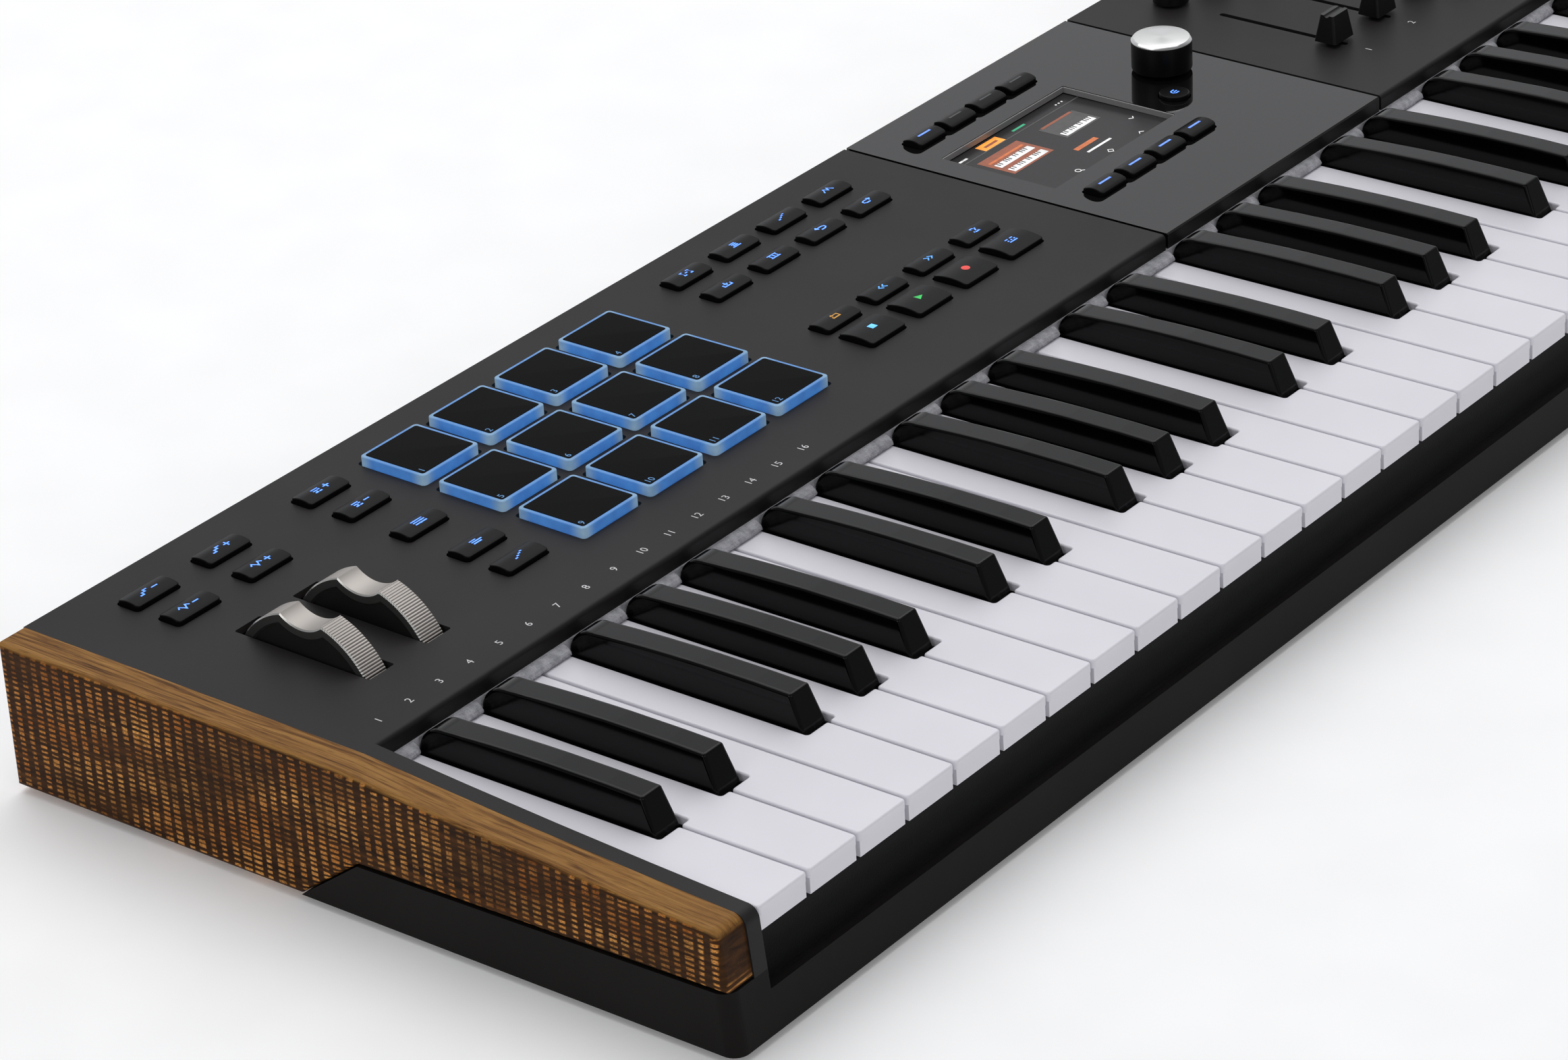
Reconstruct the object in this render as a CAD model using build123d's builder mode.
from build123d import *
import os

os.makedirs("parts", exist_ok=True)

# A 61-key controller keyboard.  Millimetres, +X to the player's right, +Y to the rear, +Z up.
# The origin is the middle of the footprint, on the surface that the feet stand on.

# ---------------------------------------------------------------- driving sizes
key_pitch = 23.5            # one white key to the next
octaves = 5
white_length = 140.0        # white key in front of the control panel
panel_depth = 139.5         # control panel, front edge to rear
case_height = 50.0          # case underside to the panel's rear edge
key_top_height = 39.5       # case underside to the white keys' tops
panel_rise = 9.1            # panel's front edge above the white keys
foot_height = 2.5
front_setback = 4.5         # the keys' fronts behind the case's lowest front edge
front_lean = 0.105          # the front face leans back by this much for each mm of height
arm_width = 6.0             # black end strip between the keys and the wooden cheek
cheek_thickness = 12.0
wall = 3.0
panel_thickness = 2.5
rail_height = 14.0          # front rail above the case's underside
seam_height = 20.5          # where the upper and lower mouldings meet at the ends

# ---------------------------------------------------------------- keys
key_gap = 1.0
cap_thickness = 3.0
skirt_depth = 8.4           # white key's front face
skirt_inset = 0.5
skirt_wall = 1.8
black_front = 49.5          # black key's foot behind the white keys' fronts
notch_front = 46.3
black_width = 11.2
black_top_width = 9.2
black_rise = 10.5
black_bevel = 4.2           # run of the sloping front
black_rear_gap = 2.0        # black key's rear end to the panel's lip
notch_clearance = 1.15
key_dip = 10.0
pivot_behind = 12.0         # pivot rod behind the panel's front edge
pivot_drop = 9.0            # pivot rod below the white keys' tops
pivot_r = 2.0
running_gap = 0.05
web_width = 8.0
web_top = 3.0
web_bottom = 14.0
boss_r = 4.5

# ---------------------------------------------------------------- controls
button_gap = 0.5
button_travel = 1.0
flange = 1.2                # how far a button's flange reaches under the panel
wheel_r = 29.0
wheel_width = 9.5
wheel_slot_width = 11.5
wheel_drop = 6.5            # wheel axle below the white keys' tops
notch_half = 8.4            # half the finger notch's opening
notch_deep = 3.1
axle_r = 3.0
pad_size = 27.6
pad_spacing = 5.65          # between one pad and the next
pad_rise = 3.0
pad_gap = 0.8
knob_r = 11.35
knob_height = 13.2
knob_cap = 1.1
encoder_r = 7.0
encoder_height = 13.0
stem_r = 3.0
fader_count = 9
fader_pitch = 30.4
fader_travel = 45.0
fader_slot_width = 2.5
fader_stem = (1.2, 6.0)
screen_width = 76.5
screen_depth = 49.9
groove = 1.4                # dark groove each side of the display plate

# ---------------------------------------------------------------- places worked out
white_count = 7 * octaves + 1
octave = 7 * key_pitch
keys_width = white_count * key_pitch
half_keys = keys_width / 2
half_body = half_keys + arm_width
half_case = half_body + cheek_thickness
case_depth = front_setback + white_length + panel_depth
case_front = -case_depth / 2
case_rear = case_depth / 2
key_front = case_front + front_setback
panel_front = key_front + white_length
case_bottom = foot_height
floor_top = case_bottom + wall
key_top = case_bottom + key_top_height
panel_front_top = key_top + panel_rise
panel_rear_top = case_bottom + case_height
panel_slope = (panel_rear_top - panel_front_top) / panel_depth
rail_top = case_bottom + rail_height
seam = case_bottom + seam_height
lip_bottom = panel_front_top - 5.7
pivot_y = panel_front + pivot_behind
pivot_z = key_top - pivot_drop


def panel_z(y):
    """Height of the panel's top at depth y."""
    return panel_front_top + (y - panel_front) * panel_slope


def front_y(z):
    """Depth of the leaning front face at height z."""
    return case_front + (z - case_bottom) * front_lean


def across(x):
    """X of a place measured from the keys' left end."""
    return x - half_keys


def on_panel(x, from_rear):
    """A place on the panel's top, measured from the keys' left end and the rear edge."""
    y = case_rear - from_rear
    return (across(x), y, panel_z(y))


def save(part, name):
    part.label = name
    export_step(part, "parts/" + name + ".step")


# Plate between the two side panels, and the columns and rows of controls
pad_pitch = pad_size + pad_spacing
wheel_show = panel_front_top - panel_thickness - key_top + wheel_drop
wheel_slot_length = 2 * (wheel_r ** 2 - wheel_show ** 2) ** 0.5 + 3.25
plate_left = across(413.5)
plate_right = across(553.4)
left_column = 29.8
octave_columns = (left_column, 62.5)
mode_column = 109.2
edit_column = 297.2
edit_pitch = 26.8
rear_row = 18.9
second_row = 36.3
wheel_columns = (33.15, 59.35)
wheel_row = 84.5
pad_column = 145.5
pad_row = 29.3
small_row = 83.1
large_row = 98.8
screen_place = on_panel(463.0, 59.6)
display_column = 435.0
display_pitch = 19.05
display_rows = (19.7, 98.9)
knob_place = on_panel(533.0, 57.5)
back_place = on_panel(515.0, 75.0)
fader_column = 588.6
fader_rest_row = 97.6
encoder_row = 24.3

octave_places = [on_panel(x, row) for x in octave_columns for row in (rear_row, second_row)]
mode_places = [on_panel(mode_column, row) for row in (rear_row, second_row, 60.5, 84.5, 101.6)]
edit_columns = [edit_column + i * edit_pitch for i in range(4)]
edit_places = [on_panel(x, row) for row in (rear_row, second_row) for x in edit_columns]
small_places = [on_panel(x, small_row) for x in edit_columns]
large_places = [on_panel(x, large_row) for x in edit_columns]
display_columns = [display_column + i * display_pitch for i in range(4)]
display_places = [on_panel(x, row) for row in display_rows for x in display_columns]
pad_columns = [pad_column + i * pad_pitch for i in range(4)]
pad_rows = [[on_panel(x, pad_row + j * pad_pitch) for x in pad_columns] for j in range(3)]
wheel_places = [(across(x), case_rear - wheel_row, key_top - wheel_drop) for x in wheel_columns]
fader_places = [on_panel(fader_column + i * fader_pitch, fader_rest_row) for i in range(fader_count)]
encoder_places = [on_panel(fader_column + i * fader_pitch, encoder_row) for i in range(fader_count)]
button_size = (19.0, 9.0)
large_button_size = (19.0, 14.6)
display_button_size = (15.8, 8.9)
back_button_r = 5.6


# ================================================================ wooden cheeks
cheek_gap = 0.5
slant_foot = case_front + 164.5     # where the cheek reaches the case's underside
slant_head = case_front + 140.5
slant_head_z = case_bottom + 17.5


def upper_edge(front_gap):
    """Top outline of an arm or a cheek: straight along the panel, then a long hollow arc to the front."""
    start = (panel_front, panel_front_top)
    nose = (front_y(key_top) + front_gap + 4.0, key_top + 0.8)
    middle = ((start[0] + nose[0]) / 2, (start[1] + nose[1]) / 2 - 0.6)
    ThreePointArc(start, middle, nose)
    return nose


def cheek(side):
    """Walnut end cheek; side is -1 at the left and 1 at the right."""
    inner = side * half_body
    with BuildPart() as block:
        with BuildSketch(Plane.YZ.offset(inner)):
            with BuildLine():
                Line((case_rear - 0.5, panel_z(case_rear)), (panel_front, panel_front_top))
                nose = upper_edge(0.6)
                brow = (front_y(key_top - 3.2) + 0.6, key_top - 3.2)
                ThreePointArc(nose, (nose[0] - 2.95, nose[1] - 1.05), brow)
                Polyline(
                    brow,
                    (front_y(seam + cheek_gap) + 0.6, seam + cheek_gap),
                    (slant_head, slant_head_z + cheek_gap),
                    (slant_foot + cheek_gap, case_bottom),
                    (case_rear - 0.5, case_bottom),
                    (case_rear - 0.5, panel_z(case_rear)),
                )
            make_face()
        extrude(amount=side * cheek_thickness)
        outer = block.faces().sort_by(Axis.X)[-1 if side > 0 else 0]
        fillet(outer.edges(), 1.8)
    return block.part


left_cheek = cheek(-1)
save(left_cheek, "left_cheek")
right_cheek = cheek(1)
save(right_cheek, "right_cheek")


# ================================================================ lower case
post_r = 3.5
post_bore_r = 1.5
head_r = 3.4
board_drop = 11.0           # top of the control boards below the panel's top
board_thickness = 1.6
board_top = panel_front_top - board_drop
board_posts = [(across(x), case_rear - row) for x in (96.0, 400.0, 566.0, 834.0) for row in (12.0, 108.0)]
plate_posts = [(across(x), case_rear - 12.0) for x in (16.0, 230.0, 480.0, 706.0)]
posts = board_posts + plate_posts
jack_xs = [across(590.0 + i * 22.0) for i in range(4)]
din_xs = [across(684.0), across(728.0)]
usb_x = across(758.0)
lock_x = across(790.0)
socket_z = case_bottom + 24.0
jack_nose_r = 5.5
din_nose_r = 9.0
usb_slot = (9.4, 3.6)
rear_inner = case_rear - wall

with BuildPart() as bottom_case:
    with BuildSketch(Plane.YZ.offset(-half_body)):
        with BuildLine():
            Polyline(
                (case_front, case_bottom),
                (case_rear, case_bottom),
                (case_rear, panel_z(case_rear) - panel_thickness),
                (rear_inner, panel_z(rear_inner) - panel_thickness),
                (rear_inner, seam),
                (front_y(seam), seam),
                close=True,
            )
        make_face()
    extrude(amount=2 * half_body)
    # chin under each cheek
    for x in (-half_case, half_body):
        with BuildSketch(Plane.YZ.offset(x)):
            with BuildLine():
                Polyline(
                    (case_front, case_bottom),
                    (slant_foot, case_bottom),
                    (slant_head, slant_head_z),
                    (front_y(seam), seam),
                    close=True,
                )
            make_face()
        extrude(amount=cheek_thickness)
    for x in (-half_case, half_case):
        corner = bottom_case.edges().sort_by_distance((x, front_y(case_bottom + 10), case_bottom + 10))[0]
        fillet(corner, 5.0)
    # hollow inside
    with BuildSketch(Plane.YZ.offset(-half_keys)):
        with BuildLine():
            Polyline(
                (front_y(floor_top) + wall, floor_top),
                (rear_inner, floor_top),
                (rear_inner, case_bottom + case_height),
                (case_front - wall, case_bottom + case_height),
                (case_front - wall, rail_top),
                (front_y(rail_top) + wall, rail_top),
                close=True,
            )
        make_face()
    extrude(amount=keys_width, mode=Mode.SUBTRACT)
    # posts for the boards and the case screws
    for x, y in posts:
        with BuildSketch(Plane.XY.offset(floor_top)):
            with Locations((x, y)):
                Circle(post_r)
        extrude(amount=board_top - board_thickness - floor_top)
    with BuildSketch(Plane.XY.offset(case_bottom)):
        with Locations(*posts):
            Circle(post_bore_r)
    extrude(amount=14.0, mode=Mode.SUBTRACT)
    with BuildSketch(Plane.XY.offset(case_bottom)):
        with Locations(*posts):
            Circle(head_r)
    extrude(amount=1.8, mode=Mode.SUBTRACT)
    # rear openings
    with BuildSketch(Plane.XZ.offset(-case_rear)):
        with Locations(*[(x, socket_z) for x in jack_xs]):
            Circle(jack_nose_r)
        with Locations(*[(x, socket_z) for x in din_xs]):
            Circle(din_nose_r)
        with Locations((usb_x, socket_z)):
            RectangleRounded(usb_slot[0] + 4.0, usb_slot[1] + 4.0, 2.0)
        with Locations((lock_x, socket_z)):
            RectangleRounded(7.2, 3.2, 1.0)
    extrude(amount=wall, mode=Mode.SUBTRACT)
save(bottom_case.part, "bottom_case")

with BuildPart() as screws:
    for x, y in posts:
        with BuildSketch(Plane.XY.offset(case_bottom + 0.2)):
            with Locations((x, y)):
                Circle(head_r)
                RegularPolygon(1.5, 6, mode=Mode.SUBTRACT)
        extrude(amount=1.6)
        with BuildSketch(Plane.XY.offset(case_bottom + 1.8)):
            with Locations((x, y)):
                Circle(post_bore_r)
        extrude(amount=10.0)
save(screws.part, "case_screws")

foot_r = 8.0
foot_inset = 24.0
with BuildPart() as feet:
    with BuildSketch():
        with GridLocations(2 * (half_case - foot_inset), case_depth - 2 * foot_inset, 2, 2):
            Circle(foot_r)
    extrude(amount=foot_height)
    fillet(feet.faces().sort_by(Axis.Z)[0].edges(), 0.8)
save(feet.part, "rubber_feet")


# ================================================================ upper mouldings
def panel_profile():
    """Outline, across the depth, of a panel with its front lip."""
    Polyline(
        (panel_front, lip_bottom),
        (panel_front, panel_front_top),
        (case_rear, panel_rear_top),
        (case_rear, panel_rear_top - panel_thickness),
        (panel_front + 2.0, panel_z(panel_front + 2.0) - panel_thickness),
        (panel_front + 2.0, lip_bottom),
        close=True,
    )


def arm_profile():
    """Outline of the end arm, from the panel down to the lower case and forward to the front."""
    Line((rear_inner, panel_z(rear_inner)), (panel_front, panel_front_top))
    nose = upper_edge(0.0)
    brow = (front_y(key_top - 3.2), key_top - 3.2)
    ThreePointArc(nose, (nose[0] - 2.95, nose[1] - 1.05), brow)
    Polyline(
        brow,
        (front_y(seam), seam),
        (rear_inner, seam),
        (rear_inner, panel_z(rear_inner)),
    )


cut_depth = 12.0
cut_plane = Plane.XY.offset(panel_rear_top + 1.0)

with BuildPart() as left_panel:
    with BuildSketch(Plane.YZ.offset(-half_body)):
        with BuildLine():
            panel_profile()
        make_face()
    extrude(amount=plate_left - groove / 2 + half_body)
    lip_edge = left_panel.edges().filter_by(Axis.X).sort_by_distance((0, panel_front, panel_front_top))[0]
    fillet(lip_edge, 1.6)
    with BuildSketch(Plane.YZ.offset(-half_body)):
        with BuildLine():
            arm_profile()
        make_face()
    extrude(amount=arm_width)
    with BuildSketch(cut_plane):
        pills = octave_places + mode_places + edit_places + small_places
        with Locations(*[(p[0], p[1]) for p in pills]):
            RectangleRounded(*[side + 2 * button_gap for side in button_size], 1.8)
        with Locations(*[(p[0], p[1]) for p in large_places]):
            RectangleRounded(*[side + 2 * button_gap for side in large_button_size], 1.8)
        with Locations(*[(p[0], p[1]) for row in pad_rows for p in row]):
            RectangleRounded(pad_size + 2 * pad_gap, pad_size + 2 * pad_gap, 1.6)
        with Locations(*[(p[0], p[1]) for p in wheel_places]):
            RectangleRounded(wheel_slot_width, wheel_slot_length, 0.8)
    extrude(amount=-cut_depth, mode=Mode.SUBTRACT)
save(left_panel.part, "left_panel")

fader_front = 5.9           # slot in front of a resting fader's middle
fader_slot_length = fader_travel + 2 * fader_front
with BuildPart() as right_panel:
    with BuildSketch(Plane.YZ.offset(half_body)):
        with BuildLine():
            panel_profile()
        make_face()
    extrude(amount=-(half_body - plate_right - groove / 2))
    front_top = (half_keys, panel_front, panel_front_top)
    lip_edge = right_panel.edges().filter_by(Axis.X).sort_by_distance(front_top)[0]
    fillet(lip_edge, 1.6)
    with BuildSketch(Plane.YZ.offset(half_body)):
        with BuildLine():
            arm_profile()
        make_face()
    extrude(amount=-arm_width)
    with BuildSketch(cut_plane):
        with Locations(*[(p[0], p[1] + fader_travel / 2) for p in fader_places]):
            RectangleRounded(fader_slot_width, fader_slot_length, 1.2)
        with Locations(*[(p[0], p[1]) for p in encoder_places]):
            Circle(stem_r + running_gap)
    extrude(amount=-cut_depth, mode=Mode.SUBTRACT)
save(right_panel.part, "right_panel")

shelf = 5.0                 # how far the display plate's ledges reach under the side panels
shelf_width = 12.0
shelf_thickness = 1.5
with BuildPart() as display_plate:
    with BuildSketch(Plane.YZ.offset(plate_left + groove / 2)):
        with BuildLine():
            panel_profile()
        make_face()
    extrude(amount=plate_right - plate_left - groove)
    lip_edge = display_plate.edges().filter_by(Axis.X).sort_by_distance((0, panel_front, panel_front_top))[0]
    chamfer(lip_edge, 0.5)
    for x in (plate_left - shelf, plate_right + shelf - shelf_width):
        with BuildSketch(Plane.YZ.offset(x)):
            with BuildLine():
                Polyline(
                    (panel_front + 2.0, panel_z(panel_front + 2.0) - panel_thickness),
                    (rear_inner, panel_z(rear_inner) - panel_thickness),
                    (rear_inner, panel_z(rear_inner) - panel_thickness - shelf_thickness),
                    (panel_front + 2.0, panel_z(panel_front + 2.0) - panel_thickness - shelf_thickness),
                    close=True,
                )
            make_face()
        extrude(amount=shelf_width)
    with BuildSketch(cut_plane):
        with Locations(*[(p[0], p[1]) for p in display_places]):
            RectangleRounded(*[side + 2 * button_gap for side in display_button_size], 1.8)
        with Locations((screen_place[0], screen_place[1])):
            RectangleRounded(screen_width, screen_depth, 0.6)
        with Locations((knob_place[0], knob_place[1])):
            Circle(stem_r + running_gap)
        with Locations((back_place[0], back_place[1])):
            Circle(back_button_r + button_gap)
    extrude(amount=-cut_depth, mode=Mode.SUBTRACT)
save(display_plate.part, "display_plate")

screen_frame = 3.5
screen_front = screen_place[1] - screen_depth / 2 - screen_frame
with BuildPart() as screen:
    with BuildSketch(Plane.XY.offset(panel_z(screen_front) - panel_thickness)):
        with Locations((screen_place[0], screen_place[1])):
            Rectangle(screen_width + 2 * screen_frame, screen_depth + 2 * screen_frame)
    extrude(amount=-4.0)
save(screen.part, "display_screen")


# ================================================================ keybed
bed_front = key_front + 4.0
bed_rear = pivot_y + 8.0
bed_plate = 1.5
guide_y = key_front + 18.0
guide_depth = 14.0
felt_thickness = 2.0
guide_reach = (pivot_y - guide_y + guide_depth / 2) / (pivot_y - key_front)
pressed_skirt = key_top - skirt_depth - key_dip * guide_reach
guide_top = pressed_skirt - 0.6 - felt_thickness
rib_thickness = 2.5
black_shift = 0.607         # C sharp and D sharp, left and right of the middle of D, in key pitches
wide_shift = 1.143          # F sharp and A sharp, left and right of G sharp
rib_offset = (1.5 - black_shift) * key_pitch - 7.2
rib_xs = [across(rib_offset + i * octave) for i in range(octaves)] + [across(octaves * octave + 3.0)]

with BuildPart() as keybed_frame:
    with BuildSketch(Plane.YZ.offset(-half_keys + 0.3)):
        with BuildLine():
            Polyline(
                (bed_front, floor_top),
                (bed_rear, floor_top),
                (bed_rear, key_top - 6.0),
                (bed_rear - bed_plate, key_top - 6.0),
                (bed_rear - bed_plate, floor_top + bed_plate),
                (guide_y + guide_depth / 2, floor_top + bed_plate),
                (guide_y + guide_depth / 2, guide_top),
                (guide_y - guide_depth / 2, guide_top),
                (guide_y - guide_depth / 2, floor_top + bed_plate),
                (bed_front, floor_top + bed_plate),
                close=True,
            )
        make_face()
    extrude(amount=keys_width - 0.6)
    for x in rib_xs:
        with BuildSketch(Plane.YZ.offset(x - rib_thickness / 2)):
            with Locations((pivot_y, (floor_top + pivot_z) / 2)):
                Rectangle(10.0, pivot_z - floor_top)
            with Locations((pivot_y, pivot_z)):
                Circle(5.0)
            with Locations((pivot_y, pivot_z)):
                Circle(pivot_r, mode=Mode.SUBTRACT)
        extrude(amount=rib_thickness)
save(keybed_frame.part, "keybed_frame")

with BuildPart() as pivot_rod:
    with BuildSketch(Plane.YZ.offset(-half_keys + 0.3)):
        with Locations((pivot_y, pivot_z)):
            Circle(pivot_r)
    extrude(amount=keys_width - 0.6)
save(pivot_rod.part, "pivot_rod")

felt_gap = 0.3
with BuildPart() as felt_strips:
    with BuildSketch(Plane.YZ.offset(-half_keys + 0.3)):
        with Locations((guide_y, guide_top + felt_thickness / 2)):
            Rectangle(guide_depth, felt_thickness)
        with BuildLine():
            Polyline(
                (panel_front - 1.4, key_top + felt_gap),
                (panel_front + 2.0, key_top + felt_gap),
                (panel_front + 2.0, lip_bottom),
                (panel_front - 0.6, lip_bottom),
                close=True,
            )
        make_face()
    extrude(amount=keys_width - 0.6)
save(felt_strips.part, "felt_strips")


# ---------------------------------------------------------------- key mouldings
def pivot_web(x):
    """Web under a key, back to the boss that turns on the pivot rod."""
    with BuildPart() as web:
        with BuildSketch(Plane.YZ.offset(x - web_width / 2)):
            with BuildLine():
                Polyline(
                    (key_front + 52.0, key_top - web_top),
                    (pivot_y, key_top - web_top),
                    (pivot_y, key_top - web_bottom + 1.0),
                    (key_front + 70.0, key_top - web_bottom + 3.0),
                    close=True,
                )
            make_face()
            with Locations((pivot_y, pivot_z)):
                Circle(boss_r)
            with Locations((pivot_y, pivot_z)):
                Circle(pivot_r + running_gap, mode=Mode.SUBTRACT)
        extrude(amount=web_width)
    return web.part


def white_key(tail_left, tail_right):
    """White key with its left edge at x = 0; its tail runs between the black keys on each side."""
    left = key_gap / 2
    right = key_pitch - key_gap / 2
    tail_rear = panel_front + 5.0
    shoulder = key_front + notch_front
    outline = [(left, key_front), (right, key_front)]
    if tail_right < right:
        outline += [(right, shoulder), (tail_right, shoulder)]
    outline += [(tail_right, tail_rear), (tail_left, tail_rear)]
    if tail_left > left:
        outline += [(tail_left, shoulder), (left, shoulder)]
    web = pivot_web((tail_left + tail_right) / 2)
    with BuildPart() as key:
        with BuildSketch(Plane.XY.offset(key_top - cap_thickness)):
            with BuildLine():
                Polyline(*outline, close=True)
            make_face()
        extrude(amount=cap_thickness)
        corners = key.edges().filter_by(Axis.Z).group_by(Axis.Y)
        fillet(corners[0], 1.4)
        if tail_right < right or tail_left > left:
            fillet(key.edges().filter_by(Axis.Z).filter_by(lambda e: abs(e.center().Y - shoulder) < 0.1), 1.0)
        rim = key.faces().sort_by(Axis.Z)[-1].edges()
        fillet(rim, 0.8)
        with BuildSketch(Plane.XY.offset(key_top - skirt_depth)):
            with Locations(((left + right) / 2, (key_front + shoulder) / 2)):
                width = right - left - 2 * skirt_inset
                depth = notch_front - 2 * skirt_inset
                Rectangle(width, depth)
                Rectangle(width - 2 * skirt_wall, depth - 2 * skirt_wall, mode=Mode.SUBTRACT)
        extrude(amount=skirt_depth - cap_thickness)
        add(web)
    return key.part


def black_key():
    """Black key about x = 0: tapered sides, a steep sloping front and a top that falls at the rear."""
    foot = key_front + black_front
    crest = foot + black_bevel
    rear = panel_front - black_rear_gap
    top = key_top + black_rise
    base = key_top - 6.0
    web = pivot_web(0)
    with BuildPart() as key:
        with BuildSketch(Plane.YZ.offset(-black_width / 2)):
            with BuildLine():
                Line((rear, base), (foot - 0.8, base))
                Line((foot - 0.8, base), (foot - 0.8, key_top - 1.8))
                Line((foot - 0.8, key_top - 1.8), (crest, top - 0.3))
                ThreePointArc((crest, top - 0.3), (crest + 34.0, top), (rear - 9.0, top - 1.6))
                ThreePointArc((rear - 9.0, top - 1.6), (rear - 3.0, top - 3.3), (rear, top - 7.0))
                Line((rear, top - 7.0), (rear, base))
            make_face()
        extrude(amount=black_width)
        with BuildSketch(Plane.XZ.offset(-rear)):
            with BuildLine():
                Polyline(
                    (-black_width / 2, base),
                    (black_width / 2, base),
                    (black_width / 2, key_top),
                    (black_top_width / 2, top),
                    (-black_top_width / 2, top),
                    (-black_width / 2, key_top),
                    close=True,
                )
            make_face()
        extrude(amount=rear - foot + 0.8, mode=Mode.INTERSECT)
        sloping = key.edges().filter_by(lambda e: e.center().Z > key_top + 1.0)
        fillet(sloping.filter_by(lambda e: e.center().Y < rear - 0.5), 1.1)
        add(web)
    return key.part


def whites(name, index, tail_left, tail_right):
    key = white_key(tail_left, tail_right)
    with BuildPart() as keys:
        with Locations(*[(across(index * key_pitch + i * octave), 0, 0) for i in range(octaves)]):
            add(key)
        if index == 0:
            # the highest C has no black key beside it
            last = white_key(left_side, right_side)
            with Locations((across(octaves * octave), 0, 0)):
                add(last)
    save(keys.part, name)


def blacks(name, centre):
    key = black_key()
    with BuildPart() as keys:
        with Locations(*[(across(centre + i * octave), 0, 0) for i in range(octaves)]):
            add(key)
    save(keys.part, name)


half_notch = black_width / 2 + notch_clearance
c_sharp = (1.5 - black_shift) * key_pitch
d_sharp = (1.5 + black_shift) * key_pitch
g_sharp = 5.0 * key_pitch
f_sharp = g_sharp - wide_shift * key_pitch
a_sharp = g_sharp + wide_shift * key_pitch
left_side = key_gap / 2
right_side = key_pitch - key_gap / 2

whites("c_keys", 0, left_side, c_sharp - half_notch)
whites("d_keys", 1, c_sharp + half_notch - key_pitch, d_sharp - half_notch - key_pitch)
whites("e_keys", 2, d_sharp + half_notch - 2 * key_pitch, right_side)
whites("f_keys", 3, left_side, f_sharp - half_notch - 3 * key_pitch)
whites("g_keys", 4, f_sharp + half_notch - 4 * key_pitch, g_sharp - half_notch - 4 * key_pitch)
whites("a_keys", 5, g_sharp + half_notch - 5 * key_pitch, a_sharp - half_notch - 5 * key_pitch)
whites("b_keys", 6, a_sharp + half_notch - 6 * key_pitch, right_side)
blacks("c_sharp_keys", c_sharp)
blacks("d_sharp_keys", d_sharp)
blacks("f_sharp_keys", f_sharp)
blacks("g_sharp_keys", g_sharp)
blacks("a_sharp_keys", a_sharp)


# ================================================================ push buttons and pads
stem_length = board_drop - panel_thickness - 0.2 - 1.2 - button_travel - 0.3
flange_gap = 0.2


def push_button(length, width, edge, crown):
    """Crowned rubber cap about the panel's top, with a flange below it and a stem for its switch."""
    with BuildPart() as cap:
        with BuildSketch(Plane.YZ.offset(-length / 2)):
            with BuildLine():
                Polyline(
                    (-width / 2, edge),
                    (-width / 2, -panel_thickness - flange_gap),
                    (width / 2, -panel_thickness - flange_gap),
                    (width / 2, edge),
                )
                ThreePointArc((width / 2, edge), (0, crown), (-width / 2, edge))
            make_face()
        extrude(amount=length)
        fillet(cap.edges().filter_by(Axis.Z), 1.4)
        fillet(cap.edges().filter_by(lambda e: e.center().Z > edge - 0.1), 0.45)
        with BuildSketch(Plane.XY.offset(-panel_thickness - flange_gap)):
            RectangleRounded(length + 2 * flange, width + 2 * flange, 1.0)
        extrude(amount=-1.2)
        with BuildSketch(Plane.XY.offset(-panel_thickness - flange_gap - 1.2)):
            Circle(1.6)
        extrude(amount=-stem_length)
    return cap.part


def group(name, piece, places):
    with BuildPart() as pieces:
        with Locations(*places):
            add(piece)
    save(pieces.part, name)


pill = push_button(button_size[0], button_size[1], 1.3, 2.2)
group("octave_buttons", pill, octave_places)
group("mode_buttons", pill, mode_places)
group("edit_buttons", pill, edit_places)
group("transport_small_buttons", pill, small_places)
wide_pill = push_button(large_button_size[0], large_button_size[1], 1.3, 2.4)
group("transport_large_buttons", wide_pill, large_places)
short_pill = push_button(display_button_size[0], display_button_size[1], 1.3, 2.6)
group("display_buttons", short_pill, display_places)

with BuildPart() as back_cap:
    with BuildSketch(Plane.XY.offset(-panel_thickness - flange_gap)):
        Circle(back_button_r)
    extrude(amount=panel_thickness + flange_gap + 1.6)
    fillet(back_cap.faces().sort_by(Axis.Z)[-1].edges(), 0.5)
    with BuildSketch(Plane.XY.offset(-panel_thickness - flange_gap)):
        Circle(back_button_r + flange)
    extrude(amount=-1.2)
    with BuildSketch(Plane.XY.offset(-panel_thickness - flange_gap - 1.2)):
        Circle(1.6)
    extrude(amount=-stem_length)
group("back_button", back_cap.part, [back_place])

with BuildPart() as pad:
    with BuildSketch(Plane.XY.offset(-panel_thickness - flange_gap)):
        RectangleRounded(pad_size, pad_size, 1.6)
    extrude(amount=panel_thickness + flange_gap + pad_rise)
    fillet(pad.faces().sort_by(Axis.Z)[-1].edges(), 0.4)
    with BuildSketch(Plane.XY.offset(-panel_thickness - flange_gap)):
        RectangleRounded(pad_size + 4.0, pad_size + 4.0, 2.0)
    extrude(amount=-1.5)
    with BuildSketch(Plane.XY.offset(-panel_thickness - flange_gap - 1.5)):
        RectangleRounded(18.0, 18.0, 2.0)
    extrude(amount=-stem_length + 0.6)
for row, places in enumerate(pad_rows):
    group("pads_row_" + str(row + 1), pad.part, places)


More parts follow.
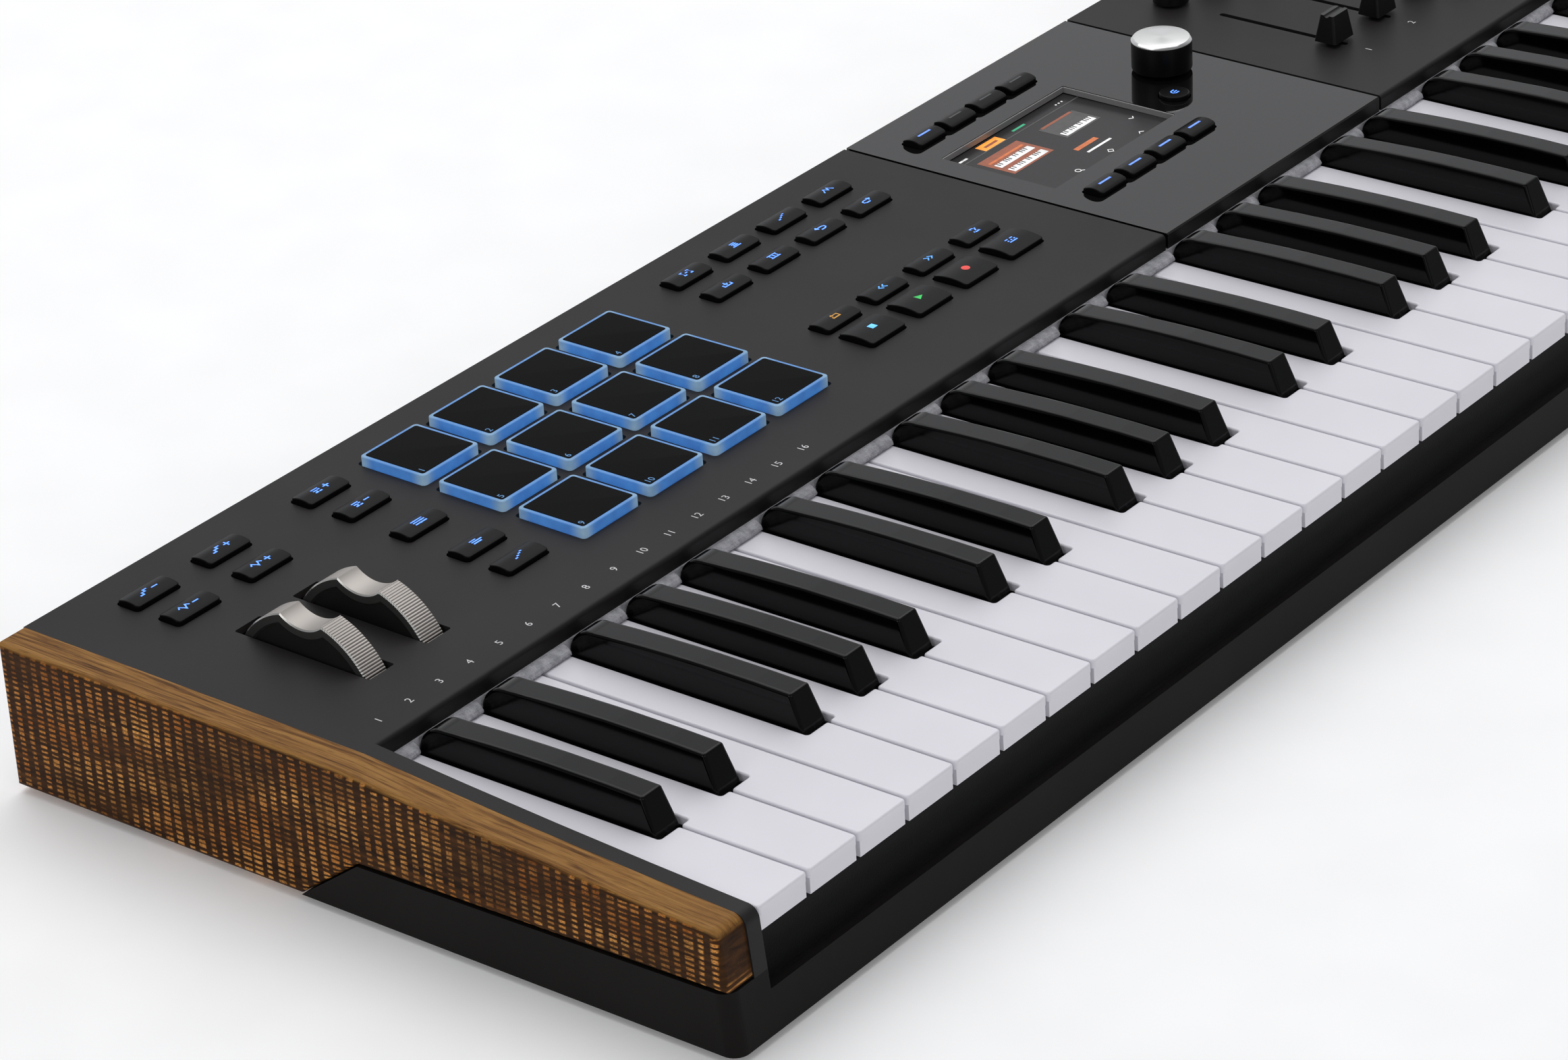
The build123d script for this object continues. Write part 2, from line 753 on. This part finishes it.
# ================================================================ wheels
def finger_wheel():
    """Wheel about its own axle, with a smooth finger notch at its top."""
    with BuildPart() as wheel:
        with BuildSketch(Plane.YZ.offset(-wheel_width / 2)):
            Circle(wheel_r)
            chord = (wheel_r ** 2 - notch_half ** 2) ** 0.5
            scoop_r = (notch_half ** 2 + notch_deep ** 2) / (2 * notch_deep)
            with Locations((0, chord - notch_deep + scoop_r)):
                Circle(scoop_r, mode=Mode.SUBTRACT)
            Circle(axle_r + running_gap, mode=Mode.SUBTRACT)
        extrude(amount=wheel_width)
    return wheel.part


group("pitch_wheel", finger_wheel(), [wheel_places[0]])
group("mod_wheel", finger_wheel(), [wheel_places[1]])

wheel_y = wheel_places[0][1]
wheel_z = wheel_places[0][2]
bracket_gap = 1.0
bracket_plate = 1.6
wheel_reach = wheel_width / 2 + bracket_gap
bracket_xs = []
for place in wheel_places:
    bracket_xs += [place[0] - wheel_reach - bracket_plate, place[0] + wheel_reach]
with BuildPart() as wheel_bracket:
    for x in bracket_xs:
        with BuildSketch(Plane.YZ.offset(x)):
            with Locations((wheel_y, (floor_top + wheel_z) / 2)):
                Rectangle(20.0, wheel_z - floor_top)
            with Locations((wheel_y, wheel_z)):
                Circle(10.0)
        extrude(amount=bracket_plate)
    with BuildSketch(Plane.YZ.offset(bracket_xs[0])):
        with Locations((wheel_y, wheel_z)):
            Circle(axle_r)
    extrude(amount=bracket_xs[-1] + bracket_plate - bracket_xs[0])
save(wheel_bracket.part, "wheel_bracket")


# ================================================================ rotary controls
def turning_knob(radius, top_radius, bottom, top):
    """Knob about its shaft, with a stem through the panel and a retaining ring under it."""
    with BuildPart() as knob:
        with BuildSketch(Plane.XZ):
            with BuildLine():
                Polyline(
                    (0, top),
                    (top_radius - 0.6, top),
                    (top_radius, top - 0.6),
                    (radius, bottom),
                    (stem_r, bottom),
                    (stem_r, -panel_thickness - 0.3),
                    (stem_r + 1.5, -panel_thickness - 0.3),
                    (stem_r + 1.5, -panel_thickness - 1.3),
                    (stem_r, -panel_thickness - 1.3),
                    (stem_r, -board_drop + 1.0),
                    (0, -board_drop + 1.0),
                    close=True,
                )
            make_face()
        revolve(axis=Axis.Z)
    return knob.part


encoder = turning_knob(encoder_r, encoder_r - 0.5, 0.8, encoder_height)
for i, place in enumerate(encoder_places):
    group("encoder_" + str(i + 1), encoder, [place])

shaft_r = 2.0
with BuildPart() as shaft:
    with BuildSketch(Plane.XY.offset(knob_height - 3.0)):
        Circle(shaft_r)
    extrude(amount=-(knob_height - 3.0 + board_drop - 2.2))
group("main_encoder_shaft", shaft.part, [knob_place])

with BuildPart() as main_knob:
    with BuildSketch(Plane.XZ):
        with BuildLine():
            Polyline(
                (0, knob_height),
                (knob_r - 0.9, knob_height),
                (knob_r, knob_height - knob_cap),
                (knob_r, 1.6),
                (knob_r - 0.3, 1.3),
                (stem_r, 1.3),
                (stem_r, -panel_thickness - 2.0),
                (shaft_r + running_gap, -panel_thickness - 2.0),
                (shaft_r + running_gap, knob_height - 3.0 + running_gap),
                (0, knob_height - 3.0 + running_gap),
                close=True,
            )
        make_face()
    revolve(axis=Axis.Z)
group("main_knob", main_knob.part, [knob_place])


# ================================================================ faders
fader_base = (13.4, 9.6)
fader_top = (10.4, 5.8)
fader_lift = 1.5
fader_height = 12.0
stem_depth = panel_thickness + 6.0

with BuildPart() as fader:
    with BuildSketch(Plane.XY.offset(fader_lift)):
        RectangleRounded(fader_base[0], fader_base[1], 1.2)
    with BuildSketch(Plane.XY.offset(fader_height)):
        RectangleRounded(fader_top[0], fader_top[1], 0.8)
    loft()
    with BuildSketch(Plane.YZ.offset(-fader_base[0] / 2)):
        with Locations((0, fader_height + 0.5)):
            Circle(1.3)
    extrude(amount=fader_base[0], mode=Mode.SUBTRACT)
    with BuildSketch(Plane.XY.offset(fader_lift)):
        Rectangle(fader_stem[0], fader_stem[1])
    extrude(amount=-fader_lift - stem_depth)
for i, place in enumerate(fader_places):
    group("fader_" + str(i + 1), fader.part, [place])

track_width = 9.0
track_top = panel_thickness + 0.6
with BuildPart() as fader_tracks:
    for place in fader_places:
        middle = place[1] + fader_travel / 2
        with BuildSketch(Plane.XY.offset(board_top)):
            with Locations((place[0], middle)):
                Rectangle(track_width, fader_slot_length + 6.0)
                Rectangle(fader_slot_width, fader_slot_length, mode=Mode.SUBTRACT)
        extrude(amount=panel_z(place[1] - 12.0) - track_top - board_top)
save(fader_tracks.part, "fader_tracks")


# ================================================================ boards and sockets
board_front_row = 112.0
board_rear_row = 7.0
board_centre = case_rear - (board_front_row + board_rear_row) / 2
board_depth = board_front_row - board_rear_row
board_spans = ((90.0, 546.0), (558.0, 842.0))
octave_board = (78.0, 39.0)
with BuildPart() as circuit_boards:
    with BuildSketch(Plane.XY.offset(board_top - board_thickness)):
        for left, right in board_spans:
            with Locations((across((left + right) / 2), board_centre)):
                Rectangle(right - left, board_depth)
        with Locations((across(49.0), case_rear - board_rear_row - octave_board[1] / 2)):
            Rectangle(*octave_board)
    extrude(amount=board_thickness)
    with BuildSketch(Plane.XY.offset(floor_top + bed_plate)):
        with Locations((0, key_front + 90.0)):
            Rectangle(keys_width - 20.0, 30.0)
    extrude(amount=board_thickness)
save(circuit_boards.part, "circuit_boards")

jack_r = 3.2
jack_length = 12.0
din_r = 7.2
din_length = 6.0
with BuildPart() as rear_sockets:
    for x in jack_xs:
        with BuildSketch(Plane.XZ.offset(-rear_inner)):
            with Locations((x, socket_z)):
                Rectangle(13.0, 12.0)
        extrude(amount=14.0)
        with BuildSketch(Plane.XZ.offset(-rear_inner)):
            with Locations((x, socket_z)):
                Circle(jack_nose_r)
        extrude(amount=-wall)
    for x in din_xs:
        with BuildSketch(Plane.XZ.offset(-rear_inner)):
            with Locations((x, socket_z)):
                Rectangle(20.0, 20.0)
        extrude(amount=10.0)
        with BuildSketch(Plane.XZ.offset(-rear_inner)):
            with Locations((x, socket_z)):
                Circle(din_nose_r)
        extrude(amount=-wall)
    with BuildSketch(Plane.XZ.offset(-rear_inner)):
        with Locations((usb_x, socket_z)):
            RectangleRounded(usb_slot[0] + 4.0, usb_slot[1] + 4.0, 2.0)
    extrude(amount=8.0)
    with BuildSketch(Plane.XZ.offset(-rear_inner)):
        with Locations((usb_x, socket_z)):
            RectangleRounded(usb_slot[0] + 4.0, usb_slot[1] + 4.0, 2.0)
    extrude(amount=-wall)
    with BuildSketch(Plane.XZ.offset(-case_rear)):
        with Locations(*[(x, socket_z) for x in jack_xs]):
            Circle(jack_r)
    extrude(amount=jack_length, mode=Mode.SUBTRACT)
    with BuildSketch(Plane.XZ.offset(-case_rear)):
        with Locations(*[(x, socket_z) for x in din_xs]):
            Circle(din_r)
    extrude(amount=din_length, mode=Mode.SUBTRACT)
    for x in din_xs:
        with BuildSketch(Plane.XZ.offset(-case_rear + din_length)):
            with Locations((x, socket_z)):
                with PolarLocations(4.8, 5, -180.0, 225.0):
                    Circle(0.8)
        extrude(amount=4.0, mode=Mode.SUBTRACT)
    with BuildSketch(Plane.XZ.offset(-case_rear)):
        with Locations((usb_x, socket_z)):
            RectangleRounded(usb_slot[0], usb_slot[1], 1.6)
            RectangleRounded(usb_slot[0] - 2.6, 0.8, 0.3, mode=Mode.SUBTRACT)
    extrude(amount=6.5, mode=Mode.SUBTRACT)
save(rear_sockets.part, "rear_sockets")
